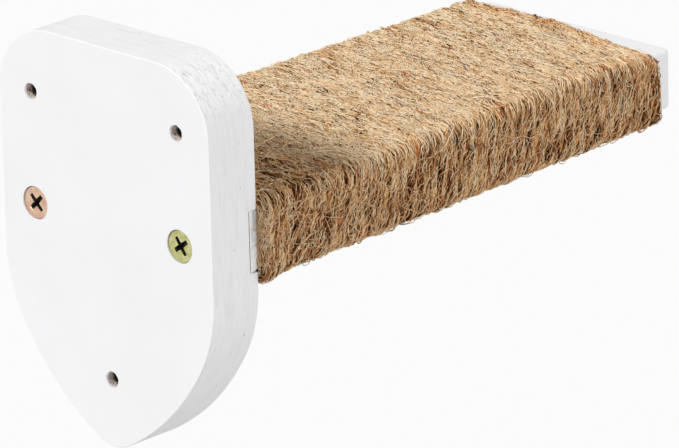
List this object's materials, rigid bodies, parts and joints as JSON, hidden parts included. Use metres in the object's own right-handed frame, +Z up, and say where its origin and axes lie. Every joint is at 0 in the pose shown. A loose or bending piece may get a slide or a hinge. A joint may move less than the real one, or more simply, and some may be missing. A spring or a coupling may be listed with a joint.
{
  "type": "cat wall shelf",
  "caption": "Narrow wall step for a cat: a white shield-shaped wall plate carries a tapering board that is wound with jute twine for grip, with a bare painted tip.",
  "frame": {"origin": "on the plate's wall face, on its centre line, at the board's mid height, level with the joint screws", "axes": "+Z up, +Y into the wall, -Y out into the room along the board, +X to the right for someone who faces the wall"},
  "size_m": [0.0876, 0.196, 0.118],
  "materials": {
    "painted_plate": "satin white paint on solid wood, with open end grain",
    "painted_board": "satin white paint on solid wood",
    "yellow_zinc": "yellow passivated zinc, slightly worn",
    "rosy_zinc": "yellow passivated zinc with a rosy tint",
    "jute": "loosely twisted natural jute with loose hairs",
    "staple_wire": "bright galvanised wire"
  },
  "bodies": {
    "root": {"wall_plate": "painted_plate", "step_board": "painted_board", "left_screw": "yellow_zinc", "right_screw": "rosy_zinc", "first_strand": "jute", "second_strand": "jute", "inner_staple": "staple_wire", "outer_staple": "staple_wire"}
  },
  "joints": []
}
